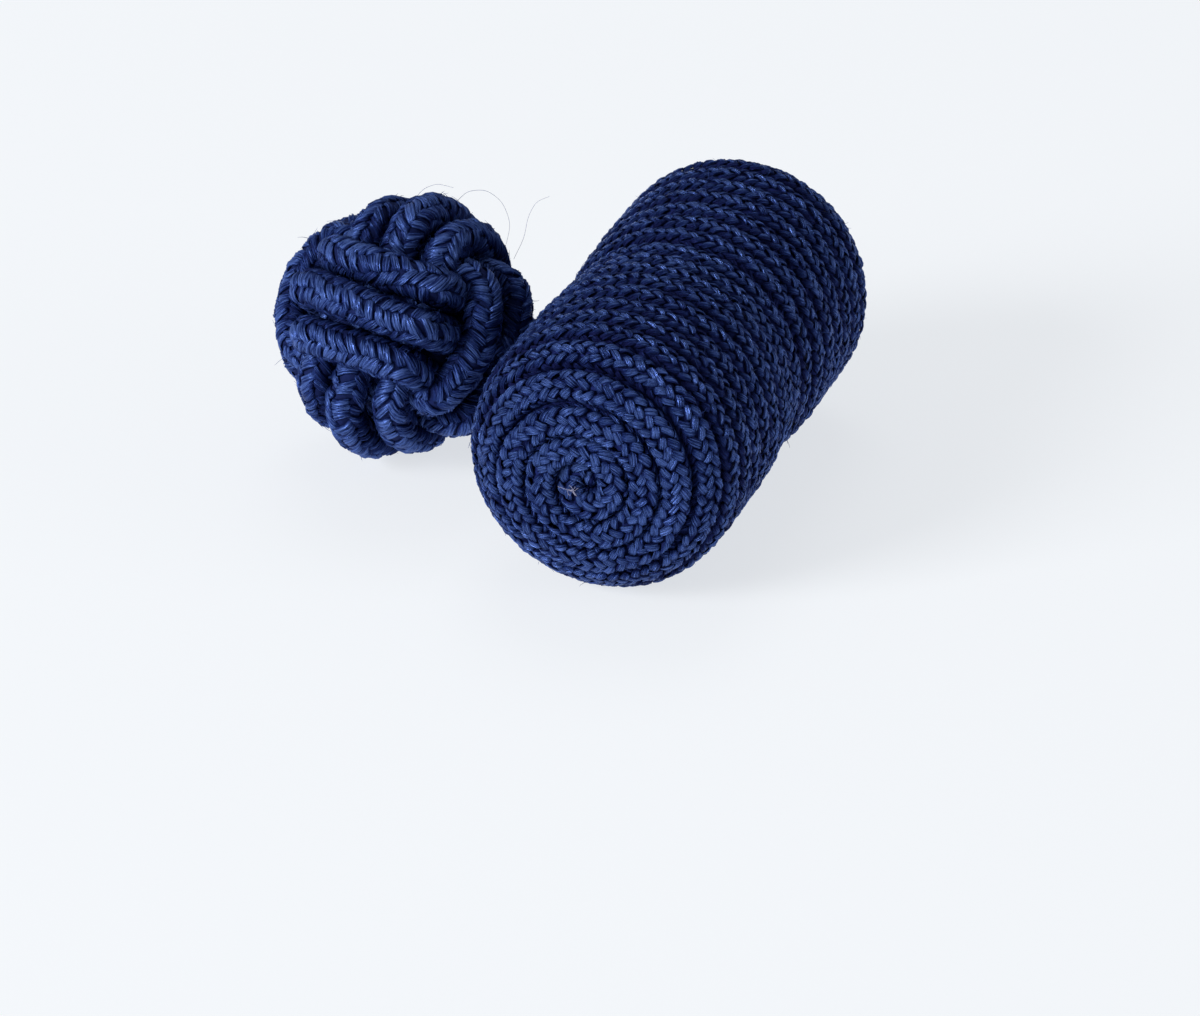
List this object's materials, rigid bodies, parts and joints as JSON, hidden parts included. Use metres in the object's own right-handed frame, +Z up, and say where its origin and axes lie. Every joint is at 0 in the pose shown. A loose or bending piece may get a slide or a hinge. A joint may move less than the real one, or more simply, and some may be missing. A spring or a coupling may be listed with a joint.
{
  "type": "barrel cufflink",
  "caption": "Soft cufflink of navy braided cord: a wound barrel with spiral ends, joined by a short cord link to a woven ball knot.",
  "frame": {"origin": "on the surface it lies on, under the middle of its overall length and width", "axes": "+X along the barrel, +Y from the barrel to the knot along the link, +Z up from the surface"},
  "size_m": [0.02, 0.0204, 0.01],
  "materials": {
    "barrel_cord": "silky flat braid in navy",
    "knot_cord": "slightly fuzzy round braid in navy",
    "link_cord": "round braid in navy"
  },
  "bodies": {
    "root": {"barrel": "barrel_cord", "knot": "knot_cord", "link": "link_cord"}
  },
  "joints": []
}
